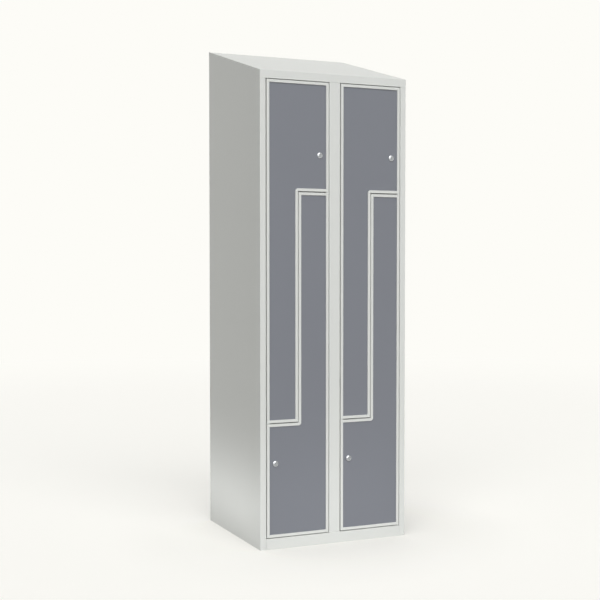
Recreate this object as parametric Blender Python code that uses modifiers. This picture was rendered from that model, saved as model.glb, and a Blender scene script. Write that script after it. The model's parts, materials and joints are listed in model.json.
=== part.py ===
# Two-column Z locker in sheet steel: a sloping-top cabinet with four L-shaped doors.
# Metres, +Z up. The front faces -Y and the origin is the middle of the base.

from math import atan, cos, pi, radians, sin, tan

import bmesh
import bpy
from mathutils import Matrix, Vector

# Cabinet
WIDTH = 0.600
DEPTH = 0.550          # from the lock heads to the rear
FRONT_HEIGHT = 1.750
ROOF_RISE = 0.150      # from the front edge of the roof to the rear edge
SHEET = 0.0008
BEND = 0.0015          # outer radius of a folded corner
SEAM = 0.0003          # clearance between two pieces that meet
STILE = 0.023          # front fold of each side panel
POST = 0.044           # front face of the centre post
BASE_RAIL = 0.040      # height of the bottom rail
FASCIA = 0.029         # height of the roof's front fold
REBATE = 0.024         # front plane to the face of the door stops
STOP_LIP = 0.012       # width of a door stop
REAR_FOLD = 0.015      # folds round the back panel
BASE_FOLD = 0.020      # foot of the bottom rail, on the ground
TRAY_FOLD = 0.020      # side folds of the floor and ceiling panels
RAIL_LEG = 0.022       # top rail's leg behind the fascia

# Doors
DOOR_GAP = 0.0032      # between a door and the cabinet
SPLIT_GAP = 0.0037     # between the two doors of a column, at the steps of the Z
UPRIGHT_GAP = 0.0025   # the same along the upright of the Z
LOWER_WIDE = 0.4239    # bottom rail to the lower step of the Z
UPPER_WIDE = 0.4076    # upper step of the Z to the top rail
SPLIT_SHIFT = 0.0010   # from the column's middle to the upright of the Z
DOOR_PROUD = 0.0016    # the door's face before the front plane
DOOR_DEPTH = 0.020
DOOR_SHEET = 0.0010
RIM = 0.0104           # width of the rim round a door panel
BACK_RIM = 0.012       # width of the fold behind it
PANEL_RECESS = 0.0034
PANEL_SHEET = 0.0012
CORNER = 0.0005        # radius of the inner corner of a door's outline
CORNER_STEPS = 6

# Pivots
PIVOT_INSET = 0.005    # from the door's edge to its axis
PIVOT_BACK = 0.0061    # from the door's face to its axis
PIN_RADIUS = 0.0020
PIN_GRIP = 0.018       # length held in the door
PIN_REACH = 0.005      # length beyond the rail's surface
BLOCK_HEIGHT = 0.020   # block that holds a pin inside the door's rim
BLOCK_WIDTH = 0.0085
BLOCK_DEPTH = 0.0105
BRACKET_PLAY = 0.0004  # above and below a pivot bracket
BRACKET_NECK = 0.008   # from the door's face back to the bracket's neck

# Locks
LOCK_INSET = 0.035     # from the free edge of the door
UPPER_LOCK_RISE = 0.1356  # above the upper step of the Z
LOWER_LOCK_DROP = 0.1489  # below the lower step
LOCK_HEAD_RADIUS = 0.0115
LOCK_HEAD = 0.0042
LOCK_CHAMFER = 0.0016
LOCK_BODY_RADIUS = 0.009
LOCK_CORE_RADIUS = 0.006
LOCK_TAIL_RADIUS = 0.004
NUT_RADIUS = 0.0130
NUT_THICKNESS = 0.003
KEYWAY_WIDTH = 0.0012
KEYWAY_HEIGHT = 0.0070
KEYWAY_DEPTH = 0.004
CORE_SINK = 0.0008     # core's face behind the head's face
CAM_PLAY = 0.0015      # between a door stop and the cam behind it
CAM_SHEET = 0.002
CAM_WIDTH = 0.014
CAM_REACH = 0.032

# Fittings inside
COAT_RAIL_RADIUS = 0.0075
COAT_RAIL_BORE = 0.0063
COAT_FLANGE_RADIUS = 0.013
COAT_FLANGE = 0.003
COAT_RAIL_DROP = 0.060  # below the compartment's top
BUFFER_RISE = 0.120     # above the lock

LIGHT_GREY = (0.66, 0.68, 0.64)
DOOR_GREY = (0.21, 0.22, 0.25)
CHROME = (0.80, 0.80, 0.82)
ZINC = (0.62, 0.64, 0.66)
RUBBER = (0.03, 0.03, 0.03)

LOCK_PROUD = LOCK_HEAD - PANEL_RECESS + DOOR_PROUD
FRONT = -DEPTH / 2 + LOCK_PROUD
REAR = DEPTH / 2
REAR_HEIGHT = FRONT_HEIGHT + ROOF_RISE
OPENING_TOP = FRONT_HEIGHT - FASCIA
SPLIT_LOW = BASE_RAIL + LOWER_WIDE
SPLIT_HIGH = OPENING_TOP - UPPER_WIDE
STOP_FACE = FRONT + REBATE
STOP_BACK = STOP_FACE + SHEET
DOOR_FACE = FRONT - DOOR_PROUD
DOOR_BACK = DOOR_FACE + DOOR_DEPTH
PIVOT_Y = DOOR_FACE + PIVOT_BACK
PANEL_FACE = DOOR_FACE + PANEL_RECESS + SEAM
PANEL_BACK = PANEL_FACE + PANEL_SHEET
INSIDE = WIDTH / 2 - SHEET - SEAM
BACK_FACE = REAR - SHEET - SEAM
REAR_INSIDE = BACK_FACE - SHEET - SEAM
ROOF_ANGLE = atan(ROOF_RISE / (REAR - FRONT))
ROUND = 32

parts = None
cutters = None


def clear_scene():
    for obj in list(bpy.data.objects):
        bpy.data.objects.remove(obj, do_unlink=True)


def new_collection(name):
    collection = bpy.data.collections.new(name)
    bpy.context.scene.collection.children.link(collection)
    return collection


def finish(obj, colour, roughness, metallic):
    """Give the piece its own material."""
    material = bpy.data.materials.new(obj.name + "_finish")
    material.use_nodes = True
    shader = material.node_tree.nodes["Principled BSDF"]
    shader.inputs["Base Color"].default_value = (*colour, 1.0)
    shader.inputs["Roughness"].default_value = roughness
    shader.inputs["Metallic"].default_value = metallic
    material.diffuse_color = (*colour, 1.0)
    obj.data.materials.clear()
    obj.data.materials.append(material)
    return obj


def light_paint(obj):
    return finish(obj, LIGHT_GREY, 0.45, 0.0)


def dark_paint(obj):
    return finish(obj, DOOR_GREY, 0.50, 0.0)


def chrome(obj):
    return finish(obj, CHROME, 0.12, 1.0)


def zinc(obj):
    return finish(obj, ZINC, 0.35, 1.0)


def rubber(obj):
    return finish(obj, RUBBER, 0.80, 0.0)


def new_object(name, bm, collection):
    mesh = bpy.data.meshes.new(name)
    bm.to_mesh(mesh)
    bm.free()
    obj = bpy.data.objects.new(name, mesh)
    collection.objects.link(obj)
    return obj


def hide_cutter(obj):
    obj.hide_render = True
    obj.display_type = "WIRE"
    return obj


def box(name, low, high, collection):
    bm = bmesh.new()
    bmesh.ops.create_cube(bm, size=1.0)
    low = Vector(low)
    high = Vector(high)
    size = high - low
    bmesh.ops.scale(bm, vec=size, verts=bm.verts)
    bmesh.ops.translate(bm, vec=(low + high) / 2, verts=bm.verts)
    return new_object(name, bm, collection)


def box_cutter(name, low, high):
    return hide_cutter(box(name, low, high, cutters))


def rod(name, radius, low, high, collection):
    """A round bar between two points on a line along X, Y or Z."""
    bm = bmesh.new()
    low = Vector(low)
    high = Vector(high)
    span = high - low
    bmesh.ops.create_cone(
        bm, cap_ends=True, segments=ROUND, radius1=radius, radius2=radius, depth=span.length
    )
    turn = span.to_track_quat("Z", "Y").to_matrix()
    bmesh.ops.rotate(bm, cent=(0, 0, 0), matrix=turn, verts=bm.verts)
    bmesh.ops.translate(bm, vec=(low + high) / 2, verts=bm.verts)
    return new_object(name, bm, collection)


def rod_cutter(name, radius, low, high):
    return hide_cutter(rod(name, radius, low, high, cutters))


def boolean(obj, other, operation):
    modifier = obj.modifiers.new(operation.lower() + "_" + other.name, "BOOLEAN")
    modifier.operation = operation
    modifier.solver = "EXACT"
    modifier.object = other


def cut(obj, cutter):
    boolean(obj, cutter, "DIFFERENCE")


def join(obj, other):
    boolean(obj, other, "UNION")


def smooth(obj):
    obj.data.shade_smooth()
    obj.data.set_sharp_from_angle(angle=radians(35))
    return obj


def rounded(points, radius, steps=3):
    """Replace each inner point of an open path by an arc."""
    path = [Vector(points[0])]
    for before, here, after in zip(points, points[1:], points[2:]):
        here = Vector(here)
        back = (Vector(before) - here).normalized()
        ahead = (Vector(after) - here).normalized()
        corner = back.angle(ahead)
        reach = radius / tan(corner / 2)
        middle = here + (back + ahead).normalized() * radius / sin(corner / 2)
        start = (here + back * reach - middle).normalized()
        end = (here + ahead * reach - middle).normalized()
        for step in range(steps + 1):
            path.append(middle + start.slerp(end, step / steps) * radius)
    path.append(Vector(points[-1]))
    return path


def folded_sheet(name, path, start, end, axis, side, thickness=SHEET, radius=BEND):
    """A strip of sheet, folded along a path and pulled straight along an axis.

    The path is the visible skin: (x, y) along Z, (y, z) along X, (x, z) along Y.
    Side is 1 where the sheet's thickness lies on the left of the path, else -1.
    """
    place = {
        "X": lambda p, along: Vector((along, p.x, p.y)),
        "Y": lambda p, along: Vector((p.x, along, p.y)),
        "Z": lambda p, along: Vector((p.x, p.y, along)),
    }[axis]
    flat = rounded(path, radius)
    bm = bmesh.new()
    verts = [bm.verts.new(place(p, start)) for p in flat]
    edges = [bm.edges.new(pair) for pair in zip(verts, verts[1:])]
    grown = bmesh.ops.extrude_edge_only(bm, edges=edges)
    moved = [v for v in grown["geom"] if isinstance(v, bmesh.types.BMVert)]
    shift = place(flat[0], end) - place(flat[0], start)
    bmesh.ops.translate(bm, vec=shift, verts=moved)
    bmesh.ops.recalc_face_normals(bm, faces=bm.faces)
    ahead = flat[1] - flat[0]
    material_side = place(Vector((-ahead.y, ahead.x)), 0) * side
    if verts[0].link_faces[0].normal.dot(material_side) > 0:
        bmesh.ops.reverse_faces(bm, faces=bm.faces)
    obj = new_object(name, bm, parts)
    thicken(obj, thickness)
    return obj


def thicken(obj, thickness):
    modifier = obj.modifiers.new("thickness", "SOLIDIFY")
    modifier.thickness = thickness
    modifier.offset = -1
    modifier.use_even_offset = True
    modifier.use_quality_normals = True


def plate(name, outlines, face, thickness):
    """A flat plate parallel to the front: (x, z) outlines, the first its edge and the rest holes."""
    curve = bpy.data.curves.new(name, "CURVE")
    curve.dimensions = "2D"
    curve.fill_mode = "BOTH"
    curve.extrude = thickness / 2
    for outline in outlines:
        spline = curve.splines.new("POLY")
        spline.points.add(len(outline) - 1)
        for point, (x, z) in zip(spline.points, outline):
            point.co = (x, z, 0, 1)
        spline.use_cyclic_u = True
    obj = bpy.data.objects.new(name, curve)
    parts.objects.link(obj)
    obj.rotation_euler = (pi / 2, 0, 0)
    obj.location = (0, face + thickness / 2, 0)
    return obj


def circle(x, z, radius, steps=ROUND):
    turns = [2 * pi * step / steps for step in range(steps)]
    return [(x + radius * cos(turn), z + radius * sin(turn)) for turn in turns]


def turned(name, profile, origin, axis):
    """A turned piece: (radius, distance along the axis), running down its outer side.

    A profile that starts off the axis is closed, as a tube's is.
    """
    bm = bmesh.new()
    verts = [bm.verts.new((radius, 0, along)) for radius, along in profile]
    for pair in zip(verts, verts[1:]):
        bm.edges.new(pair)
    if profile[0][0] > 0:
        bm.edges.new((verts[-1], verts[0]))
    obj = new_object(name, bm, parts)
    modifier = obj.modifiers.new("turn", "SCREW")
    modifier.axis = "Z"
    modifier.steps = ROUND
    modifier.render_steps = ROUND
    modifier.use_merge_vertices = True
    modifier.merge_threshold = 0.00005
    obj.location = origin
    obj.rotation_euler = Vector(axis).to_track_quat("Z", "Y").to_euler()
    return obj


def roof_height(y):
    return FRONT_HEIGHT + (y - FRONT) * tan(ROOF_ANGLE)


def roof_underside(y):
    return roof_height(y) - (SHEET + SEAM) / cos(ROOF_ANGLE)


# Cabinet


def side_panel(name, side):
    """One sheet: door stop, front fold, side wall and rear fold. Side is -1 for the left."""
    edge = WIDTH / 2
    path = [
        (edge - STILE - STOP_LIP, STOP_FACE),
        (edge - STILE, STOP_FACE),
        (edge - STILE, FRONT),
        (edge, FRONT),
        (edge, REAR),
        (edge - REAR_FOLD, REAR),
    ]
    path = [(side * x, y) for x, y in path]
    obj = folded_sheet(name, path, 0, REAR_HEIGHT, "Z", side)

    above = REAR_HEIGHT
    roof = box_cutter(name + "_roof_cut", (-WIDTH, -DEPTH, 0), (WIDTH, DEPTH, above))
    roof.rotation_euler = (ROOF_ANGLE, 0, 0)
    roof.location = (0, 0, roof_underside(0))
    cut(obj, roof)

    outer = side * (edge + STILE)
    inner = side * (edge - SHEET - SEAM / 2)
    deep = side * (edge - STILE - 2 * STOP_LIP)
    top = OPENING_TOP - SEAM
    folds = box_cutter(
        name + "_fold_cut",
        (min(inner, deep), FRONT - BEND, top),
        (max(inner, deep), STOP_BACK + BEND, top + above),
    )
    cut(obj, folds)
    front = box_cutter(
        name + "_fascia_cut",
        (min(outer, deep), FRONT - BEND, top),
        (max(outer, deep), FRONT + BEND, top + above),
    )
    cut(obj, front)
    rear = box_cutter(
        name + "_rear_cut",
        (min(outer, deep), REAR - BEND, REAR_HEIGHT - REAR_FOLD - SEAM),
        (max(outer, deep), REAR + BEND, REAR_HEIGHT + above),
    )
    cut(obj, rear)
    return light_paint(obj)


def back_panel():
    half = WIDTH / 2 - BEND
    top = roof_underside(REAR_INSIDE) - BEND
    outline = [(-half, 0), (half, 0), (half, top), (-half, top)]
    return light_paint(plate("back_panel", [outline], BACK_FACE - SHEET, SHEET))


def sloping_roof():
    path = [
        (FRONT, OPENING_TOP),
        (FRONT, FRONT_HEIGHT),
        (REAR, REAR_HEIGHT),
        (REAR, REAR_HEIGHT - REAR_FOLD),
    ]
    return light_paint(folded_sheet("sloping_roof", path, -WIDTH / 2, WIDTH / 2, "X", -1))


def tray(name, height, fold, side):
    """A flat panel with a fold down or up along both side walls."""
    path = [
        (-INSIDE, height + fold),
        (-INSIDE, height),
        (INSIDE, height),
        (INSIDE, height + fold),
    ]
    return light_paint(folded_sheet(name, path, STOP_BACK + SEAM, REAR_INSIDE, "Y", side))


def clear_door_stops(rail, height):
    """Cut the rail's lip away where the upright door stops pass."""
    near = WIDTH / 2 - STILE - STOP_LIP - SEAM
    middle = POST / 2 + STOP_LIP + SEAM
    spans = [(-WIDTH, -near), (-middle, middle), (near, WIDTH)]
    for number, (low, high) in enumerate(spans):
        cutter = box_cutter(
            rail.name + "_stop_cut_" + str(number),
            (low, STOP_FACE - BEND, height - STOP_LIP - BEND),
            (high, STOP_BACK + BEND, height + STOP_LIP + BEND),
        )
        cut(rail, cutter)


def top_rail():
    leg = FRONT + SHEET + SEAM
    path = [
        (leg, OPENING_TOP + RAIL_LEG),
        (leg, OPENING_TOP),
        (STOP_FACE, OPENING_TOP),
        (STOP_FACE, OPENING_TOP - STOP_LIP),
    ]
    obj = folded_sheet("top_rail", path, -INSIDE, INSIDE, "X", 1, radius=SHEET + SEAM)
    clear_door_stops(obj, OPENING_TOP)
    return light_paint(obj)


def bottom_rail():
    end = WIDTH / 2 - STILE - SEAM
    path = [
        (FRONT + BASE_FOLD, 0),
        (FRONT, 0),
        (FRONT, BASE_RAIL),
        (STOP_FACE, BASE_RAIL),
        (STOP_FACE, BASE_RAIL + STOP_LIP),
    ]
    obj = folded_sheet("bottom_rail", path, -end, end, "X", -1, radius=SHEET + SEAM)
    clear_door_stops(obj, BASE_RAIL)
    return light_paint(obj)


def centre_post():
    half = POST / 2
    path = [
        (-half - STOP_LIP, STOP_FACE),
        (-half, STOP_FACE),
        (-half, FRONT),
        (half, FRONT),
        (half, STOP_FACE),
        (half + STOP_LIP, STOP_FACE),
    ]
    low = BASE_RAIL + SEAM
    high = OPENING_TOP - SEAM
    return light_paint(folded_sheet("centre_post", path, low, high, "Z", 1))


def centre_partition():
    low = (-SHEET / 2, FRONT + SHEET + SEAM, BASE_RAIL + SEAM)
    high = (SHEET / 2, REAR_INSIDE, OPENING_TOP - SEAM)
    return light_paint(box("centre_partition", low, high, parts))


# Columns

COLUMNS = {
    "left": (-(WIDTH / 2 - STILE), -POST / 2),
    "right": (POST / 2, WIDTH / 2 - STILE),
}


def walls(column):
    """The inner faces of the side wall and of the partition, low x first."""
    near = SHEET / 2 + SEAM
    if column == "left":
        return -INSIDE, -near
    return near, INSIDE


def split_x(column):
    low, high = COLUMNS[column]
    return (low + high) / 2 + SPLIT_SHIFT


def z_divider(column):
    low, high = walls(column)
    middle = split_x(column)
    path = [(low, SPLIT_LOW), (middle, SPLIT_LOW), (middle, SPLIT_HIGH), (high, SPLIT_HIGH)]
    name = column + "_z_divider"
    return light_paint(folded_sheet(name, path, STOP_BACK + SEAM, REAR_INSIDE, "Y", -1))


def z_stop(column):
    """The Z-shaped door stop behind the split between the two doors."""
    low, high = COLUMNS[column]
    low += STOP_LIP + SEAM
    high -= STOP_LIP + SEAM
    middle = split_x(column)
    half = SPLIT_GAP / 2 + STOP_LIP
    outline = [
        (low, SPLIT_LOW - half),
        (middle + half, SPLIT_LOW - half),
        (middle + half, SPLIT_HIGH - half),
        (high, SPLIT_HIGH - half),
        (high, SPLIT_HIGH + half),
        (middle - half, SPLIT_HIGH + half),
        (middle - half, SPLIT_LOW + half),
        (low, SPLIT_LOW + half),
    ]
    return light_paint(plate(column + "_z_stop", [outline], STOP_FACE, SHEET))


def coat_rail(name, low, high, height):
    length = high - low
    profile = [
        (COAT_FLANGE_RADIUS, length),
        (COAT_FLANGE_RADIUS, length - COAT_FLANGE),
        (COAT_RAIL_RADIUS, length - COAT_FLANGE),
        (COAT_RAIL_RADIUS, COAT_FLANGE),
        (COAT_FLANGE_RADIUS, COAT_FLANGE),
        (COAT_FLANGE_RADIUS, 0),
        (COAT_RAIL_BORE, 0),
        (COAT_RAIL_BORE, length),
    ]
    return zinc(smooth(turned(name, profile, (low, 0, height), (1, 0, 0))))


def coat_rails(column):
    low, high = walls(column)
    coat_rail("upper_" + column + "_coat_rail", low, high, OPENING_TOP - COAT_RAIL_DROP)
    foot = SPLIT_HIGH - SHEET - COAT_RAIL_DROP
    start = split_x(column) + SHEET + SEAM
    coat_rail("lower_" + column + "_coat_rail", start, high, foot)


# Doors. A door is drawn in (u, v): u runs from its hinged edge to its free edge, and v from
# the end of its narrow leg to the far end of its wide part. The lower door of a column is
# the upper one turned half round.


def door_layout(level, column):
    low, high = COLUMNS[column]
    middle = split_x(column)
    half = SPLIT_GAP / 2
    side = UPRIGHT_GAP / 2
    if level == "upper":
        door = {
            "turn": 1,
            "corner": (low + DOOR_GAP, SPLIT_LOW + half),
            "leg": middle - side - low - DOOR_GAP,
            "tall": OPENING_TOP - DOOR_GAP - SPLIT_LOW - half,
            "lock": SPLIT_HIGH + UPPER_LOCK_RISE - SPLIT_LOW - half,
        }
    else:
        door = {
            "turn": -1,
            "corner": (high - DOOR_GAP, SPLIT_HIGH - half),
            "leg": high - DOOR_GAP - middle - side,
            "tall": SPLIT_HIGH - half - BASE_RAIL - DOOR_GAP,
            "lock": SPLIT_HIGH - half - SPLIT_LOW + LOWER_LOCK_DROP,
        }
    door["name"] = level + "_" + column
    door["full"] = high - low - 2 * DOOR_GAP
    door["step"] = SPLIT_HIGH - SPLIT_LOW
    return door


def to_front(door, points):
    """(u, v) points as (x, z)."""
    x, z = door["corner"]
    turn = door["turn"]
    return [(x + turn * u, z + turn * v) for u, v in points]


def door_outline(door, inset):
    """The door's outline in (u, v), drawn in by inset. Its inner corner is an arc."""
    leg, step, full, tall = door["leg"], door["step"], door["full"], door["tall"]
    centre = (leg + CORNER, step - CORNER)
    arc = []
    for number in range(CORNER_STEPS + 1):
        turn = pi - number / CORNER_STEPS * pi / 2
        radius = CORNER + inset
        arc.append((centre[0] + radius * cos(turn), centre[1] + radius * sin(turn)))
    return [
        (inset, inset),
        (leg - inset, inset),
        *arc,
        (full - inset, step + inset),
        (full - inset, tall - inset),
        (inset, tall - inset),
    ]


def door_frame(door):
    """The folded edge of the door: rear fold, outer wall, rim, and the wall down to the panel."""
    section = [
        (BACK_RIM, DOOR_BACK),
        (0, DOOR_BACK),
        (0, DOOR_FACE),
        (RIM, DOOR_FACE),
        (RIM, DOOR_FACE + PANEL_RECESS),
    ]
    bm = bmesh.new()
    rings = []
    for inset, y in section:
        points = to_front(door, door_outline(door, inset))
        rings.append([bm.verts.new((x, y, z)) for x, z in points])
    for ring, following in zip(rings, rings[1:]):
        count = len(ring)
        for number in range(count):
            after = (number + 1) % count
            bm.faces.new((ring[number], ring[after], following[after], following[number]))
    obj = new_object(door["name"] + "_door_frame", bm, parts)
    thicken(obj, DOOR_SHEET)
    for end, (low, high) in enumerate(pin_spans(door)):
        add_pin_block(door, obj, end, low, high)
    return light_paint(obj)


def pin_spans(door):
    """Where the two pins lie along v: the leg's end, then the far end."""
    tall = door["tall"]
    return [
        (-(SPLIT_GAP - BRACKET_PLAY), PIN_GRIP),
        (tall - PIN_GRIP, tall + DOOR_GAP + PIN_REACH),
    ]


def add_pin_block(door, frame, end, low, high):
    """A block inside the rim's corner, bored for the pin."""
    tall = door["tall"]
    wall = DOOR_SHEET / 2
    span = (wall, BLOCK_HEIGHT) if end == 0 else (tall - BLOCK_HEIGHT, tall - wall)
    (x0, z0), (x1, z1) = to_front(door, [(wall, span[0]), (BLOCK_WIDTH, span[1])])
    block = box_cutter(
        frame.name + "_block_" + str(end),
        (min(x0, x1), DOOR_FACE + wall, min(z0, z1)),
        (max(x0, x1), DOOR_FACE + BLOCK_DEPTH, max(z0, z1)),
    )
    join(frame, block)
    if end == 0:
        low, high = low, high + SEAM
    else:
        low, high = low - SEAM, high
    (x, z0), (x, z1) = to_front(door, [(PIVOT_INSET, low), (PIVOT_INSET, high)])
    bore = rod_cutter(
        frame.name + "_bore_" + str(end),
        PIN_RADIUS + SEAM,
        (x, PIVOT_Y, min(z0, z1)),
        (x, PIVOT_Y, max(z0, z1)),
    )
    cut(frame, bore)


def pins(door):
    names = ("_bottom_pin", "_top_pin") if door["turn"] > 0 else ("_top_pin", "_bottom_pin")
    made = []
    for name, (low, high) in zip(names, pin_spans(door)):
        (x, z0), (x, z1) = to_front(door, [(PIVOT_INSET, low), (PIVOT_INSET, high)])
        ends = (x, PIVOT_Y, min(z0, z1)), (x, PIVOT_Y, max(z0, z1))
        made.append(zinc(smooth(rod(door["name"] + name, PIN_RADIUS, *ends, parts))))
    return made


def bore_rail(door, rail):
    """The far pin's hole in the top or bottom rail."""
    tall = door["tall"]
    reach = DOOR_GAP + 2 * PIN_REACH
    (x, z0), (x, z1) = to_front(door, [(PIVOT_INSET, tall), (PIVOT_INSET, tall + reach)])
    hole = rod_cutter(
        door["name"] + "_rail_hole",
        PIN_RADIUS + SEAM,
        (x, PIVOT_Y, min(z0, z1)),
        (x, PIVOT_Y, max(z0, z1)),
    )
    cut(rail, hole)


def pivot_bracket(door):
    """A flat bracket in the split, under the leg's pin, from the cabinet's upright."""
    x, z = door["corner"]
    turn = door["turn"]
    foot = -DOOR_GAP + SEAM
    neck = DOOR_FACE + BRACKET_NECK
    back = STOP_FACE - BEND
    outline = [
        (foot, neck),
        (0, neck),
        (0, DOOR_FACE),
        (RIM, DOOR_FACE),
        (RIM, back),
        (foot, back),
    ]
    outline = [(x + turn * u, y) for u, y in outline]
    hole = circle(x + turn * PIVOT_INSET, PIVOT_Y, PIN_RADIUS + SEAM)
    curve = bpy.data.curves.new(door["name"] + "_pivot_bracket", "CURVE")
    curve.dimensions = "2D"
    curve.fill_mode = "BOTH"
    curve.extrude = SPLIT_GAP / 2 - BRACKET_PLAY
    for points in (outline, hole):
        spline = curve.splines.new("POLY")
        spline.points.add(len(points) - 1)
        for point, (px, py) in zip(spline.points, points):
            point.co = (px, py, 0, 1)
        spline.use_cyclic_u = True
    obj = bpy.data.objects.new(curve.name, curve)
    parts.objects.link(obj)
    obj.location = (0, 0, z - turn * SPLIT_GAP / 2)
    return light_paint(obj)


def lock_place(door):
    return to_front(door, [(door["full"] - LOCK_INSET, door["lock"])])[0]


def door_panel(door):
    """The inset panel, seated behind the rim, notched round the pin blocks and bored for the lock."""
    inset = DOOR_SHEET + SEAM
    tall = door["tall"]
    notch_u = BLOCK_WIDTH + SEAM
    notch_v = BLOCK_HEIGHT + SEAM
    outline = door_outline(door, inset)[1:-1]
    outline += [
        (notch_u, tall - inset),
        (notch_u, tall - notch_v),
        (inset, tall - notch_v),
        (inset, notch_v),
        (notch_u, notch_v),
        (notch_u, inset),
    ]
    x, z = lock_place(door)
    hole = circle(x, z, LOCK_BODY_RADIUS + SEAM)
    name = door["name"] + "_door_panel"
    return dark_paint(plate(name, [to_front(door, outline), hole], PANEL_FACE, PANEL_SHEET))


def door_buffer(door):
    """A rubber pad on the door stop, against the free edge's rear fold."""
    u = door["full"] - (STOP_LIP - DOOR_GAP) / 2
    x, z = to_front(door, [(u, door["lock"])])[0]
    z += BUFFER_RISE
    radius = (STOP_LIP - DOOR_GAP) / 2 - SEAM
    ends = (x, DOOR_BACK + SEAM, z), (x, STOP_FACE - SEAM, z)
    return rubber(smooth(rod(door["name"] + "_door_buffer", radius, *ends, parts)))


# Locks


def lock_housing(door):
    x, z = lock_place(door)
    seat = PANEL_FACE - SEAM
    tail = STOP_BACK + CAM_PLAY - SEAM - seat
    bore = LOCK_CORE_RADIUS + SEAM
    profile = [
        (bore, LOCK_HEAD),
        (LOCK_HEAD_RADIUS - LOCK_CHAMFER, LOCK_HEAD),
        (LOCK_HEAD_RADIUS, LOCK_HEAD - LOCK_CHAMFER),
        (LOCK_HEAD_RADIUS, 0),
        (LOCK_BODY_RADIUS, 0),
        (LOCK_BODY_RADIUS, -tail),
        (bore, -tail),
    ]
    obj = turned(door["name"] + "_lock_housing", profile, (x, seat, z), (0, -1, 0))
    return chrome(smooth(obj))


def lock_nut(door):
    x, z = lock_place(door)
    face = PANEL_BACK + SEAM
    bm = bmesh.new()
    bmesh.ops.create_cone(
        bm, cap_ends=True, segments=6, radius1=NUT_RADIUS, radius2=NUT_RADIUS, depth=NUT_THICKNESS
    )
    turn = Matrix.Rotation(pi / 2, 3, "X")
    bmesh.ops.rotate(bm, cent=(0, 0, 0), matrix=turn, verts=bm.verts)
    middle = (x, face + NUT_THICKNESS / 2, z)
    bmesh.ops.translate(bm, vec=middle, verts=bm.verts)
    obj = new_object(door["name"] + "_lock_nut", bm, parts)
    bore = rod_cutter(
        obj.name + "_bore",
        LOCK_BODY_RADIUS + SEAM,
        (x, face - NUT_THICKNESS, z),
        (x, face + 2 * NUT_THICKNESS, z),
    )
    cut(obj, bore)
    return zinc(obj)


def lock_core(door):
    x, z = lock_place(door)
    seat = PANEL_FACE - SEAM
    tail = STOP_BACK + CAM_PLAY - SEAM - seat
    face = LOCK_HEAD - CORE_SINK
    end = tail + SEAM + CAM_SHEET + SEAM
    profile = [
        (0, face),
        (LOCK_CORE_RADIUS, face),
        (LOCK_CORE_RADIUS, -tail),
        (LOCK_TAIL_RADIUS, -tail),
        (LOCK_TAIL_RADIUS, -end),
        (0, -end),
    ]
    obj = turned(door["name"] + "_lock_core", profile, (x, seat, z), (0, -1, 0))
    front = seat - face
    keyway = box_cutter(
        obj.name + "_keyway",
        (x - KEYWAY_WIDTH / 2, front - KEYWAY_DEPTH, z - KEYWAY_HEIGHT / 2),
        (x + KEYWAY_WIDTH / 2, front + KEYWAY_DEPTH, z + KEYWAY_HEIGHT / 2),
    )
    cut(obj, keyway)
    return chrome(smooth(obj))


def lock_cam(door):
    """The cam hangs straight down unlocked, and turns to the free edge to lock."""
    x, z = lock_place(door)
    half = CAM_WIDTH / 2
    tip = CAM_WIDTH / 4
    outline = []
    for number in range(ROUND // 2 + 1):
        turn = pi * number / (ROUND // 2)
        outline.append((x + half * cos(turn), z + half * sin(turn)))
    outline += [
        (x - half, z - CAM_REACH + tip),
        (x - half + tip, z - CAM_REACH),
        (x + half - tip, z - CAM_REACH),
        (x + half, z - CAM_REACH + tip),
    ]
    hole = circle(x, z, LOCK_TAIL_RADIUS + SEAM)
    name = door["name"] + "_lock_cam"
    return zinc(plate(name, [outline, hole], STOP_BACK + CAM_PLAY, CAM_SHEET))


def axis_empty(name, place):
    empty = bpy.data.objects.new(name, None)
    empty.empty_display_size = 0.05
    empty.location = place
    parts.objects.link(empty)
    return empty


def carry(parent, place, pieces):
    """Hang pieces on a joint's empty without moving them."""
    for piece in pieces:
        piece.parent = parent
        piece.matrix_parent_inverse = Matrix.Translation(-Vector(place))


def build_door(level, column, rails):
    door = door_layout(level, column)
    pieces = [door_frame(door), door_panel(door), *pins(door), lock_housing(door), lock_nut(door)]
    (x, z), = to_front(door, [(PIVOT_INSET, 0)])
    pivot_place = (x, PIVOT_Y, z)
    pivot = axis_empty(door["name"] + "_door_pivot", pivot_place)
    carry(pivot, pivot_place, pieces)

    x, z = lock_place(door)
    lock_point = (x, PANEL_FACE, z)
    lock_axis = axis_empty(door["name"] + "_lock_axis", lock_point)
    carry(lock_axis, lock_point, [lock_core(door), lock_cam(door)])
    carry(pivot, pivot_place, [lock_axis])

    pivot_bracket(door)
    door_buffer(door)
    bore_rail(door, rails[level])


def build():
    side_panel("left_side_panel", -1)
    side_panel("right_side_panel", 1)
    back_panel()
    sloping_roof()
    tray("ceiling_panel", OPENING_TOP, TRAY_FOLD, 1)
    tray("floor_panel", BASE_RAIL, -TRAY_FOLD, -1)
    centre_post()
    centre_partition()
    rails = {"upper": top_rail(), "lower": bottom_rail()}
    for column in COLUMNS:
        z_divider(column)
        z_stop(column)
        coat_rails(column)
        for level in ("upper", "lower"):
            build_door(level, column, rails)


clear_scene()
parts = new_collection("z_locker")
cutters = new_collection("cutters")
build()
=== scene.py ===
# Two-column Z locker: a sloping-top cabinet in folded steel with four L-shaped doors.
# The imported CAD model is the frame. The folded sheets, the door frames, the coat rails and the
# lock housings are modelled again here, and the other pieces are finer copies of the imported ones.

import json
from math import atan, cos, pi, radians, sin, tan

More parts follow.
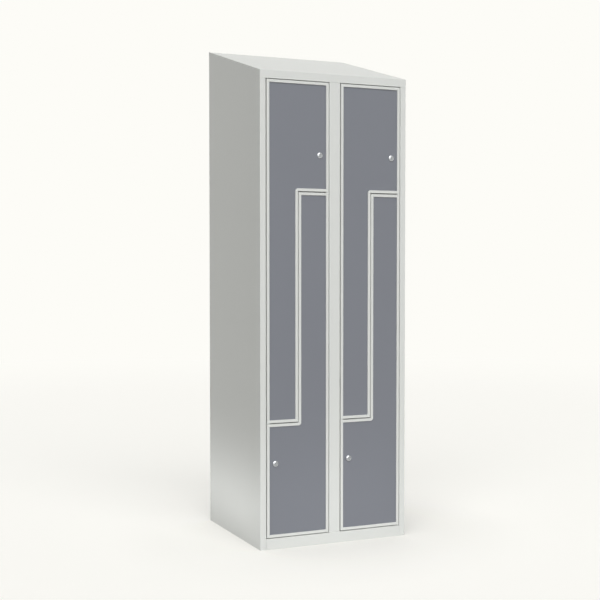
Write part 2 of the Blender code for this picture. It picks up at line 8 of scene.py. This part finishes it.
import bmesh
import bpy
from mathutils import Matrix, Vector

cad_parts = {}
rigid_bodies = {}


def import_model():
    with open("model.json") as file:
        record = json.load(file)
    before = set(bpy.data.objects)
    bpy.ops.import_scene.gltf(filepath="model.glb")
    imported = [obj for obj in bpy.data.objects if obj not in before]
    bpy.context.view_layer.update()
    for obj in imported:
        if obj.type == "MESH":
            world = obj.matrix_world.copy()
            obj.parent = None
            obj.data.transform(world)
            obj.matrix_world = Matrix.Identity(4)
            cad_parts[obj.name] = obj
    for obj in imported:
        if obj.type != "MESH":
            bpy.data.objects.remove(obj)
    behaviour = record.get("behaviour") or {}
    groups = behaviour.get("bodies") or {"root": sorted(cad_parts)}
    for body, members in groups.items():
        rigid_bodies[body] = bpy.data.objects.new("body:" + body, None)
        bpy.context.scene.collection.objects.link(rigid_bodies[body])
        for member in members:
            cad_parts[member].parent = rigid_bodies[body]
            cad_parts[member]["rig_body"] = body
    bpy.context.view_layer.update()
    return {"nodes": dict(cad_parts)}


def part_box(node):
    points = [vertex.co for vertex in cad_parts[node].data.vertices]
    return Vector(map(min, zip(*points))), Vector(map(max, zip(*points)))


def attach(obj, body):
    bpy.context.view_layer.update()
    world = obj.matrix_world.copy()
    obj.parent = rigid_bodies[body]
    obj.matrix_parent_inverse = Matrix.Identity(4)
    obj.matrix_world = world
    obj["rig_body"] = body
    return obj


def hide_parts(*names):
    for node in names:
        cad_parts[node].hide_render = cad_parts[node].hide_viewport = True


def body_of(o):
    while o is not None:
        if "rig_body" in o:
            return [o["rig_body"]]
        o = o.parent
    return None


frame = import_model()
print("frame loaded:", len(frame["nodes"]), "nodes")


# Camera at the photograph's angle

camera = {
    "place": (-1.866761, -4.155168, 1.063465),
    "yaw": 23.958,      # degrees toward +X
    "pitch": 1.996,     # degrees down
    "lens": 69.22,      # mm
    "sensor": 36,       # mm wide
}


def addCamera():
    data = bpy.data.cameras.new("photoCamera")
    data.lens = camera["lens"]
    data.sensor_width = camera["sensor"]
    obj = bpy.data.objects.new("photoCamera", data)
    obj.location = camera["place"]
    obj.rotation_euler = (radians(90 - camera["pitch"]), 0, -radians(camera["yaw"]))
    bpy.context.scene.collection.objects.link(obj)
    bpy.context.scene.camera = obj


addCamera()


# Materials

def linear(hexColour):  # an sRGB hex colour as Blender's linear one
    parts = [int(hexColour[i:i + 2], 16) / 255 for i in (1, 3, 5)]
    return (*[c / 12.92 if c <= 0.04045 else ((c + 0.055) / 1.055) ** 2.4 for c in parts], 1.0)


def addNode(tree, kind, settings=None, links=None):
    node = tree.nodes.new(kind)
    for name, value in (settings or {}).items():
        if isinstance(name, int) or name in node.inputs:
            node.inputs[name].default_value = value
        else:
            setattr(node, name, value)
    for name, source in (links or {}).items():
        tree.links.new(source, node.inputs[name])
    return node


def newMaterial(name):
    material = bpy.data.materials.new(name)
    material.use_nodes = True
    tree = material.node_tree
    return material, tree, tree.nodes["Principled BSDF"]


def addNoise(tree, size, detail):  # size in metres, crest to crest
    spot = addNode(tree, "ShaderNodeTexCoord").outputs["Object"]
    noise = addNode(tree, "ShaderNodeTexNoise", {"Scale": 1 / size, "Detail": detail}, {"Vector": spot})
    return noise.outputs["Fac"]


def addBump(tree, depth, links):
    return addNode(tree, "ShaderNodeBump", {"Strength": 1.0, "Distance": depth}, links).outputs["Normal"]


def varyColour(tree, shader, colours, share):
    ends = {6: linear(colours[0]), 7: linear(colours[1])}
    tone = addNode(tree, "ShaderNodeMix", {"data_type": "RGBA", **ends}, {0: share})
    tree.links.new(tone.outputs[2], shader.inputs["Base Color"])


def varyRoughness(tree, shader, roughness, share):
    low, high = roughness
    gloss = addNode(tree, "ShaderNodeMapRange", {"To Min": low, "To Max": high}, {"Value": share})
    tree.links.new(gloss.outputs["Result"], shader.inputs["Roughness"])


powderCoat = {
    # size and detail of each pattern
    "cloud": (0.40, 2),      # slow drift of the film's thickness over a sheet
    "peel": (0.0030, 1),     # orange peel
    "grain": (0.0009, 2),    # grit of the cured powder; really about 0.1 mm, coarser so that it shows
    "peelHeight": 0.000012,
    "grainHeight": 0.000004,
    "ior": 1.5,
    "glossDrift": 0.03,      # how far the roughness strays with the peel
    # colour, colour of the thinner film, roughness
    "lightGrey": ("#dddfdc", "#dbddda", 0.42),
    "darkGrey": ("#7b7e86", "#797c84", 0.45),
}


# Polyester powder coat, sprayed and baked on steel. It has an even satin sheen over a faint
# orange peel, and its colour hardly changes across a sheet.
def powderCoatFinish(name, shade):
    *colours, roughness = powderCoat[shade]
    drift = powderCoat["glossDrift"]
    material, tree, shader = newMaterial(name)
    peel = addNoise(tree, *powderCoat["peel"])
    grain = addNoise(tree, *powderCoat["grain"])
    waves = addBump(tree, powderCoat["peelHeight"], {"Height": peel})
    grit = addBump(tree, powderCoat["grainHeight"], {"Height": grain, "Normal": waves})
    varyColour(tree, shader, colours, addNoise(tree, *powderCoat["cloud"]))
    varyRoughness(tree, shader, (roughness - drift, roughness + drift), peel)
    shader.inputs["IOR"].default_value = powderCoat["ior"]
    tree.links.new(grit, shader.inputs["Normal"])
    return material


chromePlate = {
    # darker than bright chrome's own colour: painted shade that stands in for the darker surroundings the
    # mirror would reflect
    "colour": "#b0b3b7",
    "roughness": (0.07, 0.16),
    "polish": (0.0011, 3),     # size and detail of the polishing marks
}


# Bright chromium plate over nickel on a die-cast zinc head: a hard mirror with faint
# polishing marks, which only show as a change of gloss.
def chromePlateFinish():
    material, tree, shader = newMaterial("chromePlate")
    shader.inputs["Base Color"].default_value = linear(chromePlate["colour"])
    shader.inputs["Metallic"].default_value = 1.0
    varyRoughness(tree, shader, chromePlate["roughness"], addNoise(tree, *chromePlate["polish"]))
    return material


zincPlate = {
    "colours": ("#c4c8c9", "#b9bcb2"),   # the second has the faint yellow of the passivation
    "roughness": (0.28, 0.42),
    "crystals": (0.0025, 3),             # their size and detail
}


# Bright zinc electroplate, passivated: a soft grey metal sheen, slightly uneven in tint.
def zincPlateFinish():
    material, tree, shader = newMaterial("zincPlate")
    film = addNoise(tree, *zincPlate["crystals"])
    shader.inputs["Metallic"].default_value = 1.0
    varyColour(tree, shader, zincPlate["colours"], film)
    varyRoughness(tree, shader, zincPlate["roughness"], film)
    return material


blackRubber = {
    "colours": ("#1d1d1e", "#2a2a2a"),   # greyer where the surface has bloomed
    "pores": (0.0006, 2),                # their size and detail
    "poreDepth": 0.00003,
    "roughness": 0.8,
}


# Moulded natural rubber: nearly black, matt, with a fine moulded grain.
def blackRubberFinish():
    material, tree, shader = newMaterial("blackRubber")
    pores = addNoise(tree, *blackRubber["pores"])
    shader.inputs["Roughness"].default_value = blackRubber["roughness"]
    varyColour(tree, shader, blackRubber["colours"], pores)
    tree.links.new(addBump(tree, blackRubber["poreDepth"], {"Height": pores}), shader.inputs["Normal"])
    return material


finishes = {
    "light_grey_paint": powderCoatFinish("lightGreyPowderCoat", "lightGrey"),
    "dark_grey_paint": powderCoatFinish("darkGreyPowderCoat", "darkGrey"),
    "chrome": chromePlateFinish(),
    "zinc_plated_steel": zincPlateFinish(),
    "black_rubber": blackRubberFinish(),
}
print("materials made:", len(finishes))


# Shared sizes

# In metres. The front faces -Y and the origin is the middle of the base.
cabinet = {
    "width": 0.600,
    "depth": 0.5476,       # without the doors and locks; the locks stand 2.4 mm before it
    "rear": 0.275,
    "frontHeight": 1.750,
    "roofRise": 0.150,
    "sheet": 0.0008,
    "bend": 0.0015,        # outer radius of a folded corner
    "seam": 0.0003,        # between two pieces that meet
    "stile": 0.023,        # front fold of a side panel
    "post": 0.044,
    "baseRail": 0.040,
    "fascia": 0.029,
    "rebate": 0.024,       # front plane to the door stops
    "stopLip": 0.012,
    "rearFold": 0.015,
    "baseFold": 0.020,
    "railLeg": 0.022,
    "cutEdge": 0.00018,    # rounding of a cut edge under its paint
}
half = cabinet["width"] / 2
front, rear = cabinet["rear"] - cabinet["depth"], cabinet["rear"]
sheet, seam, bend = cabinet["sheet"], cabinet["seam"], cabinet["bend"]
rearHeight = cabinet["frontHeight"] + cabinet["roofRise"]
openingTop = cabinet["frontHeight"] - cabinet["fascia"]
stopFace = front + cabinet["rebate"]
slope = atan(cabinet["roofRise"] / cabinet["depth"])

meshing = {
    "mergeWithin": 0.000002,   # nearer vertices are one
    "flatWithin": 0.5,         # degrees; faces that turn less are one
    "bendFrom": 20,            # degrees; a fold that turns less has no bend
    "bendSegments": 6,
    "edgeFrom": 50,            # degrees; an edge that turns less isn't rounded
    "edgeSegments": 2,
    "flatWeight": 100,         # of the larger faces in the shading, which keeps the sheets flat
}


# Sheet work

def place(axis, a, b, along):
    return {"X": (along, a, b), "Y": (a, along, b), "Z": (a, b, along)}[axis]


def everything(bm):
    return bm.verts[:] + bm.edges[:] + bm.faces[:]


def newVerts(grown):
    return [part for part in grown if isinstance(part, bmesh.types.BMVert)]


def folded(axis, path, low, high):  # a path of folds, pulled straight along an axis
    bm = bmesh.new()
    verts = [bm.verts.new(place(axis, a, b, low)) for a, b in path]
    edges = [bm.edges.new(pair) for pair in zip(verts, verts[1:])]
    grown = bmesh.ops.extrude_edge_only(bm, edges=edges)["geom"]
    bmesh.ops.translate(bm, verts=newVerts(grown), vec=place(axis, 0, 0, high - low))
    return bm


def faceOut(bm, facing):  # the face that lies furthest that way looks that way
    bmesh.ops.recalc_face_normals(bm, faces=bm.faces)
    facing = Vector(facing)
    furthest = max(bm.faces, key=lambda face: face.calc_center_median().dot(facing))
    if furthest.normal.dot(facing) < 0:
        bmesh.ops.reverse_faces(bm, faces=bm.faces)


def turningEdges(bm, least):
    return [edge for edge in bm.edges
            if len(edge.link_faces) == 2 and edge.calc_face_angle(0) > radians(least)]


def bevelEdges(bm, edges, offset, segments):
    bmesh.ops.bevel(bm, geom=edges, offset=offset, offset_type="OFFSET", affect="EDGES", segments=segments,
                    profile=0.5, material=-1, clamp_overlap=True)


def foldEdges(bm, radius, segments=meshing["bendSegments"]):  # each fold gets a bend of that radius
    turns = {}
    for edge in turningEdges(bm, meshing["bendFrom"]):
        turns.setdefault(round(edge.calc_face_angle(), 2), []).append(edge)
    for turn, edges in sorted(turns.items()):
        bevelEdges(bm, [edge for edge in edges if edge.is_valid], radius * tan(turn / 2), segments)


def roundEdges(bm, radius, segments=meshing["edgeSegments"]):
    bevelEdges(bm, turningEdges(bm, meshing["edgeFrom"]), radius, segments)


def cutAcross(bm, point, normal, clear=False):
    bmesh.ops.bisect_plane(bm, geom=everything(bm), plane_co=point, plane_no=normal, clear_outer=clear)


def dropFaces(bm, unwanted):
    faces = [face for face in bm.faces if unwanted(face.calc_center_median())]
    bmesh.ops.delete(bm, geom=faces, context="FACES")


def joinFlatFaces(bm):
    bmesh.ops.dissolve_limit(bm, angle_limit=radians(meshing["flatWithin"]), verts=bm.verts, edges=bm.edges)


def giveWall(bm, wall):
    joinFlatFaces(bm)
    bm.normal_update()
    bmesh.ops.solidify(bm, geom=everything(bm), thickness=wall)
    roundEdges(bm, cabinet["cutEdge"])


def newPiece(node, bm, slot):  # takes the place of its node, on the same body
    first, *others = node.split("_")
    name = first + "".join(word.capitalize() for word in others)
    mesh = bpy.data.meshes.new(name)
    bm.to_mesh(mesh)
    bm.free()
    mesh.shade_smooth()
    mesh.materials.append(finishes[slot])
    piece = bpy.data.objects.new(name, mesh)
    bpy.context.scene.collection.objects.link(piece)
    shading = piece.modifiers.new("evenShading", "WEIGHTED_NORMAL")
    shading.mode = "FACE_AREA"
    shading.weight = meshing["flatWeight"]
    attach(piece, body_of(frame["nodes"][node])[0])
    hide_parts(node)


def sidePanel(node, side):
    path = [
        (half - cabinet["stile"] - cabinet["stopLip"], stopFace),
        (half - cabinet["stile"], stopFace),
        (half - cabinet["stile"], front),
        (half, front),
        (half, rear),
        (half - cabinet["rearFold"], rear),
    ]
    bm = folded("Z", [(side * x, y) for x, y in path], 0, rearHeight + cabinet["roofRise"])
    underRoof = (cabinet["frontHeight"] + rearHeight) / 2 - (sheet + seam) / cos(slope)
    cutAcross(bm, (0, 0, underRoof), (0, -tan(slope), 1), clear=True)
    foldEdges(bm, bend)
    top = openingTop - seam
    rearTop = rearHeight - cabinet["rearFold"] - seam
    cutAcross(bm, (0, 0, top), (0, 0, 1))
    cutAcross(bm, (0, front + bend, 0), (0, 1, 0))
    cutAcross(bm, (0, 0, rearTop), (0, 0, 1))
    cutAcross(bm, (0, rear - bend, 0), (0, 1, 0))
    dropFaces(bm, lambda c: c.z > top and c.y < front + bend)
    dropFaces(bm, lambda c: c.z > top and abs(c.x) < half - sheet and c.y < 0)
    dropFaces(bm, lambda c: c.z > rearTop and c.y > rear - bend)
    faceOut(bm, (side, 0, 0))
    giveWall(bm, sheet)
    newPiece(node, bm, "light_grey_paint")


def slopingRoof():
    path = [
        (front, openingTop),
        (front, cabinet["frontHeight"]),
        (rear, rearHeight),
        (rear, rearHeight - cabinet["rearFold"]),
    ]
    bm = folded("X", path, -half, half)
    foldEdges(bm, bend)
    faceOut(bm, (0, 0, 1))
    giveWall(bm, sheet)
    newPiece("sloping_roof", bm, "light_grey_paint")


def centrePost():
    middle = cabinet["post"] / 2
    path = [
        (-middle - cabinet["stopLip"], stopFace),
        (-middle, stopFace),
        (-middle, front),
        (middle, front),
        (middle, stopFace),
        (middle + cabinet["stopLip"], stopFace),
    ]
    bm = folded("Z", path, cabinet["baseRail"] + seam, openingTop - seam)
    foldEdges(bm, bend)
    faceOut(bm, (0, -1, 0))
    giveWall(bm, sheet)
    newPiece("centre_post", bm, "light_grey_paint")


def clearDoorStops(bm):  # a rail's lip stops short of the upright door stops
    near = half - cabinet["stile"] - cabinet["stopLip"] - seam
    middle = cabinet["post"] / 2 + cabinet["stopLip"] + seam
    for x in (-near, -middle, middle, near):
        cutAcross(bm, (x, 0, 0), (1, 0, 0))
    cutAcross(bm, (0, stopFace - bend, 0), (0, 1, 0))
    dropFaces(bm, lambda c: c.y > stopFace - bend and (abs(c.x) < middle or abs(c.x) > near))


def rail(node, path, end):  # reaches as far to the left as to the right
    bm = folded("X", path, -end, end)
    foldEdges(bm, sheet + seam)
    clearDoorStops(bm)
    faceOut(bm, (0, -1, 0))
    giveWall(bm, sheet)
    newPiece(node, bm, "light_grey_paint")


def topRail():
    leg = front + sheet + seam
    path = [
        (leg, openingTop + cabinet["railLeg"]),
        (leg, openingTop),
        (stopFace, openingTop),
        (stopFace, openingTop - cabinet["stopLip"]),
    ]
    rail("top_rail", path, half - sheet - seam)


def bottomRail():
    path = [
        (front + cabinet["baseFold"], 0),
        (front, 0),
        (front, cabinet["baseRail"]),
        (stopFace, cabinet["baseRail"]),
        (stopFace, cabinet["baseRail"] + cabinet["stopLip"]),
    ]
    rail("bottom_rail", path, half - cabinet["stile"] - seam)


sidePanel("left_side_panel", -1)
sidePanel("right_side_panel", 1)
slopingRoof()
centrePost()
topRail()
bottomRail()
print("cabinet sheets made")


# Inner sheets, door panels and small fittings

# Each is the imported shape, merged, with its edges rounded. A node's ending gives its slot and
# the rounding.
fittings = {
    "back_panel": ("light_grey_paint", cabinet["cutEdge"]),
    "ceiling_panel": ("light_grey_paint", cabinet["cutEdge"]),
    "floor_panel": ("light_grey_paint", cabinet["cutEdge"]),
    "centre_partition": ("light_grey_paint", cabinet["cutEdge"]),
    "z_divider": ("light_grey_paint", cabinet["cutEdge"]),
    "z_stop": ("light_grey_paint", cabinet["cutEdge"]),
    "pivot_bracket": ("light_grey_paint", 0.00040),
    "door_panel": ("dark_grey_paint", 0.00020),
    "bottom_pin": ("zinc_plated_steel", 0.00040),
    "top_pin": ("zinc_plated_steel", 0.00040),
    "lock_nut": ("zinc_plated_steel", 0.00030),
    "lock_cam": ("zinc_plated_steel", 0.00030),
    "lock_core": ("chrome", 0.00020),
    "door_buffer": ("black_rubber", 0.00060),
}


def finerCopy(node, slot, radius):
    bm = bmesh.new()
    bm.from_mesh(frame["nodes"][node].data)
    bmesh.ops.remove_doubles(bm, verts=bm.verts, dist=meshing["mergeWithin"])
    joinFlatFaces(bm)
    roundEdges(bm, radius)
    newPiece(node, bm, slot)


for node in sorted(frame["nodes"]):
    for ending, (slot, radius) in fittings.items():
        if node.endswith(ending):
            finerCopy(node, slot, radius)
print("fittings made")


# Turned pieces

def turned(profile, origin, axis, steps):  # (radius, distance along the axis), spun full round
    origin, axis = Vector(origin), Vector(axis)
    out = Vector((0, 0, 1)) if axis.x else Vector((1, 0, 0))
    bm = bmesh.new()
    verts = [bm.verts.new(origin + out * radius + axis * along) for radius, along in profile]
    edges = [bm.edges.new(pair) for pair in zip(verts, verts[1:] + verts[:1])]
    bmesh.ops.spin(bm, geom=verts + edges, cent=origin, axis=axis, angle=2 * pi, steps=steps, use_merge=True)
    bmesh.ops.remove_doubles(bm, verts=bm.verts, dist=meshing["mergeWithin"])
    bmesh.ops.recalc_face_normals(bm, faces=bm.faces)
    return bm


coatRail = {
    "radius": 0.0075,
    "bore": 0.0063,
    "flangeRadius": 0.013,
    "flange": 0.003,
    "edge": 0.0005,
    "edgeSegments": 3,
    "steps": 48,
}


def coatRailTube(node):
    low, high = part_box(node)
    length = high.x - low.x
    profile = [
        (coatRail["flangeRadius"], length),
        (coatRail["flangeRadius"], length - coatRail["flange"]),
        (coatRail["radius"], length - coatRail["flange"]),
        (coatRail["radius"], coatRail["flange"]),
        (coatRail["flangeRadius"], coatRail["flange"]),
        (coatRail["flangeRadius"], 0),
        (coatRail["bore"], 0),
        (coatRail["bore"], length),
    ]
    end = (low.x, (low.y + high.y) / 2, (low.z + high.z) / 2)
    bm = turned(profile, end, (1, 0, 0), coatRail["steps"])
    roundEdges(bm, coatRail["edge"], coatRail["edgeSegments"])
    newPiece(node, bm, "zinc_plated_steel")


lockHead = {
    "radius": 0.0115,
    "height": 0.0042,
    "bodyRadius": 0.009,
    "bore": 0.0063,
    # the domed rim, from the seat up to the top and in: share of the radius, share of the height
    "dome": [
        (1.0, 0.0), (1.0, 0.30), (0.985, 0.42), (0.94, 0.55), (0.87, 0.69),
        (0.78, 0.82), (0.70, 0.91), (0.62, 0.98), (0.585, 1.0), (0.56, 0.99),
    ],
    "boreMouth": 0.94,     # share of the height
    "steps": 64,
}


def lockHousing(node):
    low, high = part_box(node)
    seat = low.y + lockHead["height"]
    centre = ((low.x + high.x) / 2, seat, (low.z + high.z) / 2)
    tail = high.y - seat
    profile = [(lockHead["bore"], lockHead["boreMouth"] * lockHead["height"])]
    profile += [(r * lockHead["radius"], h * lockHead["height"]) for r, h in reversed(lockHead["dome"])]
    profile += [(lockHead["bodyRadius"], 0), (lockHead["bodyRadius"], -tail), (lockHead["bore"], -tail)]
    newPiece(node, turned(profile, centre, (0, -1, 0), lockHead["steps"]), "chrome")


for node in sorted(frame["nodes"]):
    if node.endswith("coat_rail"):
        coatRailTube(node)
    if node.endswith("lock_housing"):
        lockHousing(node)
print("turned pieces made")


# Door frames

# A door is drawn in (u, v): u runs from its hinged edge to its free edge, and v from the end of
# its narrow leg to the far end of its wide part. The lower door is the upper turned round.
doorSizes = {
    "gap": 0.0032,          # between a door and the cabinet
    "splitGap": 0.0037,     # between the two doors of a column, at the steps of the Z
    "uprightGap": 0.0025,   # the same along the upright of the Z
    "splitLow": 0.4639,     # height of the lower step of the Z
    "splitHigh": 1.3134,    # height of its upper step
    "splitShift": 0.0010,   # the upright's middle to the right of the column's
    "proud": 0.0016,        # the door's face before the front plane
    "depth": 0.020,
    "sheet": 0.0010,
    "rim": 0.0104,
    "backRim": 0.012,
    "recess": 0.0034,
    "corner": 0.0005,       # radius of the inner corner of a door's outline
    "cornerSteps": 6,
    "fold": 0.0009,         # radius of the folded edges
    "foldSegments": 4,
    "blockHeight": 0.020,   # block that holds a pin
    "blockWidth": 0.0085,
    "blockDepth": 0.0105,
}
columns = {
    "left": (-(half - cabinet["stile"]), -cabinet["post"] / 2),
    "right": (cabinet["post"] / 2, half - cabinet["stile"]),
}


def doorLayout(level, column):  # its corner, 1 or -1 for its turn, its height and its outline
    low, high = columns[column]
    gap, splitHalf, side = doorSizes["gap"], doorSizes["splitGap"] / 2, doorSizes["uprightGap"] / 2
    middle = (low + high) / 2 + doorSizes["splitShift"]
    splitLow, splitHigh = doorSizes["splitLow"], doorSizes["splitHigh"]
    if level == "upper":
        corner, turn = (low + gap, splitLow + splitHalf), 1
        leg, tall = middle - side - low - gap, openingTop - gap - splitLow - splitHalf
    else:
        corner, turn = (high - gap, splitHigh - splitHalf), -1
        leg, tall = high - gap - middle - side, splitHigh - splitHalf - cabinet["baseRail"] - gap
    full, step, radius = high - low - 2 * gap, splitHigh - splitLow, doorSizes["corner"]
    arc = []
    for number in range(doorSizes["cornerSteps"] + 1):
        angle = pi - number / doorSizes["cornerSteps"] * pi / 2
        arc.append((leg + radius * (1 + cos(angle)), step - radius * (1 - sin(angle))))
    return corner, turn, tall, [(0, 0), (leg, 0), *arc, (full, step), (full, tall), (0, tall)]


def insetRing(bm, face, width):  # keeps the ring and returns its inner edges
    bm.normal_update()
    bmesh.ops.inset_region(bm, faces=[face], thickness=width, use_even_offset=True, use_boundary=True)
    edges = list(face.edges)
    bmesh.ops.delete(bm, geom=[face], context="FACES_ONLY")
    return edges


def pullEdges(bm, edges, vec):
    grown = bmesh.ops.extrude_edge_only(bm, edges=edges)["geom"]
    bmesh.ops.translate(bm, verts=newVerts(grown), vec=vec)
    return [e for e in grown if isinstance(e, bmesh.types.BMEdge) and all(v in grown for v in e.verts)]


def addPinBlocks(bm, corner, turn, tall):  # one at each end of the hinged edge, inside the folds
    wall = doorSizes["sheet"] / 2
    width, depth = doorSizes["blockWidth"], doorSizes["blockDepth"]
    for low, high in ((wall, doorSizes["blockHeight"]), (tall - doorSizes["blockHeight"], tall - wall)):
        u, v = (width + wall) / 2, (low + high) / 2
        spot = (corner[0] + turn * u, front - doorSizes["proud"] + (depth + wall) / 2, corner[1] + turn * v)
        block = bmesh.ops.create_cube(bm, size=1)["verts"]
        bmesh.ops.scale(bm, verts=block, vec=(width - wall, depth - wall, high - low))
        bmesh.ops.translate(bm, verts=block, vec=spot)


def doorFrame(level, column):
    corner, turn, tall, outline = doorLayout(level, column)
    face = front - doorSizes["proud"]
    bm = bmesh.new()
    rim = bm.faces.new([bm.verts.new((corner[0] + turn * u, face, corner[1] + turn * v)) for u, v in outline])
    inner = insetRing(bm, rim, doorSizes["rim"])
    outer = [edge for edge in bm.edges if edge.is_boundary and edge not in inner]
    pullEdges(bm, inner, (0, doorSizes["recess"], 0))
    back = pullEdges(bm, outer, (0, doorSizes["depth"], 0))
    backFace = bmesh.ops.contextual_create(bm, geom=back)["faces"][0]
    insetRing(bm, backFace, doorSizes["backRim"])
    faceOut(bm, (0, -1, 0))
    foldEdges(bm, doorSizes["fold"], doorSizes["foldSegments"])
    giveWall(bm, doorSizes["sheet"])
    addPinBlocks(bm, corner, turn, tall)
    newPiece(level + "_" + column + "_door_frame", bm, "light_grey_paint")


for level in ("upper", "lower"):
    for column in columns:
        doorFrame(level, column)
print("doors made")


# Floor, background and light

background = "#fdfcf7"

floorSizes = {
    "radius": 30.0,
    "sides": 96,
    "litNear": 4.0,       # the lit floor gives way to the plain background between these distances
    "litFar": 8.0,
    "colour": "#c0bfbb",
    "lift": 0.58,         # the part of the floor's white that the lamps don't give
    # contact, contactDepth and contactLean set a painted shade: the floor's glow is dimmed round the object's
    # foot
    "contact": 0.55,      # how far the soft shade round the object's foot reaches
    "contactDepth": 0.64,
    "contactLean": (-0.20, 0.20),   # it is deeper to the right of the object and before it
    "contactSamples": 16,
}


def seenDirectly(tree):  # 1 for the rays that show the background: camera, mirror and glass
    path = addNode(tree, "ShaderNodeLightPath")
    mirror = addNode(tree, "ShaderNodeMath", {"operation": "MAXIMUM"},
                     {0: path.outputs["Is Glossy Ray"], 1: path.outputs["Is Transmission Ray"]})
    return addNode(tree, "ShaderNodeMath", {"operation": "MAXIMUM"},
                   {0: path.outputs["Is Camera Ray"], 1: mirror.outputs["Value"]}).outputs["Value"]


def floorMaterial():
    material, tree, shader = newMaterial("studioFloor")
    tree.nodes.remove(shader)
    spot = addNode(tree, "ShaderNodeTexCoord").outputs["Object"]
    seen = seenDirectly(tree)
    distance = addNode(tree, "ShaderNodeVectorMath", {"operation": "LENGTH"}, {0: spot})
    reach = {"From Min": floorSizes["litNear"], "From Max": floorSizes["litFar"]}
    away = addNode(tree, "ShaderNodeMapRange", {"interpolation_type": "SMOOTHSTEP", **reach},
                   {"Value": distance.outputs["Value"]})
    share = addNode(tree, "ShaderNodeMath", {"operation": "MULTIPLY"}, {0: away.outputs["Result"], 1: seen})
    # The glow is dimmed by ambient occlusion, leaned to the right and the front: painted contact shade round
    # the object's foot, on top of the floor's real shadow.
    up = Vector((*floorSizes["contactLean"], 1)).normalized()
    lean = addNode(tree, "ShaderNodeCombineXYZ", dict(zip("XYZ", up)))
    bare = addNode(tree, "ShaderNodeAmbientOcclusion",
                   {"samples": floorSizes["contactSamples"], "Distance": floorSizes["contact"]},
                   {"Normal": lean.outputs["Vector"]})
    darkest = floorSizes["lift"] * (1 - floorSizes["contactDepth"])
    lift = addNode(tree, "ShaderNodeMapRange", {"To Min": darkest, "To Max": floorSizes["lift"]},
                   {"Value": bare.outputs["AO"]})
    lift = addNode(tree, "ShaderNodeMath", {"operation": "MULTIPLY"}, {0: lift.outputs["Result"], 1: seen})
    lit = addNode(tree, "ShaderNodeBsdfDiffuse", {"Color": linear(floorSizes["colour"])})
    glow = addNode(tree, "ShaderNodeEmission", {"Color": linear(background)},
                   {"Strength": lift.outputs["Value"]})
    near = addNode(tree, "ShaderNodeAddShader", {}, {0: lit.outputs[0], 1: glow.outputs[0]})
    plain = addNode(tree, "ShaderNodeEmission", {"Color": linear(background), "Strength": 1.0})
    mixed = addNode(tree, "ShaderNodeMixShader", {},
                    {0: share.outputs["Value"], 1: near.outputs[0], 2: plain.outputs[0]})
    tree.links.new(mixed.outputs[0], tree.nodes["Material Output"].inputs["Surface"])
    return material


def addFloor():
    bm = bmesh.new()
    bmesh.ops.create_circle(bm, cap_ends=True, segments=floorSizes["sides"], radius=floorSizes["radius"])
    mesh = bpy.data.meshes.new("floor")
    bm.to_mesh(mesh)
    bm.free()
    mesh.materials.append(floorMaterial())
    floor = bpy.data.objects.new("floor", mesh)
    bpy.context.scene.collection.objects.link(floor)


lights = {
    "room": 0.19,         # even light from all round
    "roomBehind": 0.20,   # how much more of it comes from behind, and less from the front
    "roomRight": 0.28,    # how much more comes from the right, and less from the left
    "roomColour": "#f8f9fa",
    "key": 2.71,          # a broad soft light from the front and above
    "keyAngle": 70,
    "keyHeight": 37,      # degrees above the horizon
    "keyTurn": -17,       # degrees from straight ahead, to the left
    "side": 0.06,         # a weak one from the left, for the long shadow
    "sideAngle": 40,
    "sideHeight": 33,
    "sideTurn": -55,
    # soft strips near the floor: place, turn about the upright, tilt up, length, power
    "strips": {
        "leftStrip": ((-0.66, 0.02, 0.09), -90, 9.5, 0.85, 0.265),
        "frontStrip": ((0.0, -0.80, 0.09), 0, 6, 0.70, 0.095),
    },
    "stripHeight": 0.10,
    "stripSpread": 80,
}


def addWorld():
    world = bpy.data.worlds.new("studio")
    bpy.context.scene.world = world
    world.use_nodes = True
    tree = world.node_tree
    way = addNode(tree, "ShaderNodeTexCoord").outputs["Generated"]
    brighter = (lights["roomRight"], lights["roomBehind"], 0)
    slant = addNode(tree, "ShaderNodeVectorMath", {"operation": "DOT_PRODUCT", 1: brighter}, {0: way})
    level = addNode(tree, "ShaderNodeMath", {"operation": "ADD", "use_clamp": True, 1: lights["room"]},
                    {0: slant.outputs["Value"]})
    room = tree.nodes["Background"]
    room.inputs["Color"].default_value = linear(lights["roomColour"])
    tree.links.new(level.outputs["Value"], room.inputs["Strength"])
    seen = addNode(tree, "ShaderNodeBackground", {"Color": linear(background), "Strength": 1.0})
    mixed = addNode(tree, "ShaderNodeMixShader", {},
                    {0: seenDirectly(tree), 1: room.outputs[0], 2: seen.outputs[0]})
    tree.links.new(mixed.outputs[0], tree.nodes["World Output"].inputs["Surface"])


def addSun(name, strength, angle, height, turn):
    sun = bpy.data.lights.new(name, "SUN")
    sun.energy = strength
    sun.angle = radians(angle)
    obj = bpy.data.objects.new(name, sun)
    obj.rotation_euler = (radians(90 - height), 0, radians(turn))
    bpy.context.scene.collection.objects.link(obj)


def addStrip(name, spot, turn, tilt, length, power):
    area = bpy.data.lights.new(name, "AREA")
    area.shape = "RECTANGLE"
    area.size, area.size_y = length, lights["stripHeight"]
    area.spread = radians(lights["stripSpread"])
    area.energy = power
    obj = bpy.data.objects.new(name, area)
    obj.location = spot
    obj.rotation_euler = (radians(90 + tilt), 0, radians(turn))
    obj.visible_camera = False
    obj.visible_glossy = False
    bpy.context.scene.collection.objects.link(obj)


addFloor()
addWorld()
addSun("softKey", lights["key"], lights["keyAngle"], lights["keyHeight"], lights["keyTurn"])
addSun("softSide", lights["side"], lights["sideAngle"], lights["sideHeight"], lights["sideTurn"])
for name, strip in lights["strips"].items():
    addStrip(name, *strip)
bpy.context.scene.view_settings.view_transform = "Standard"
print("stage and lights made")
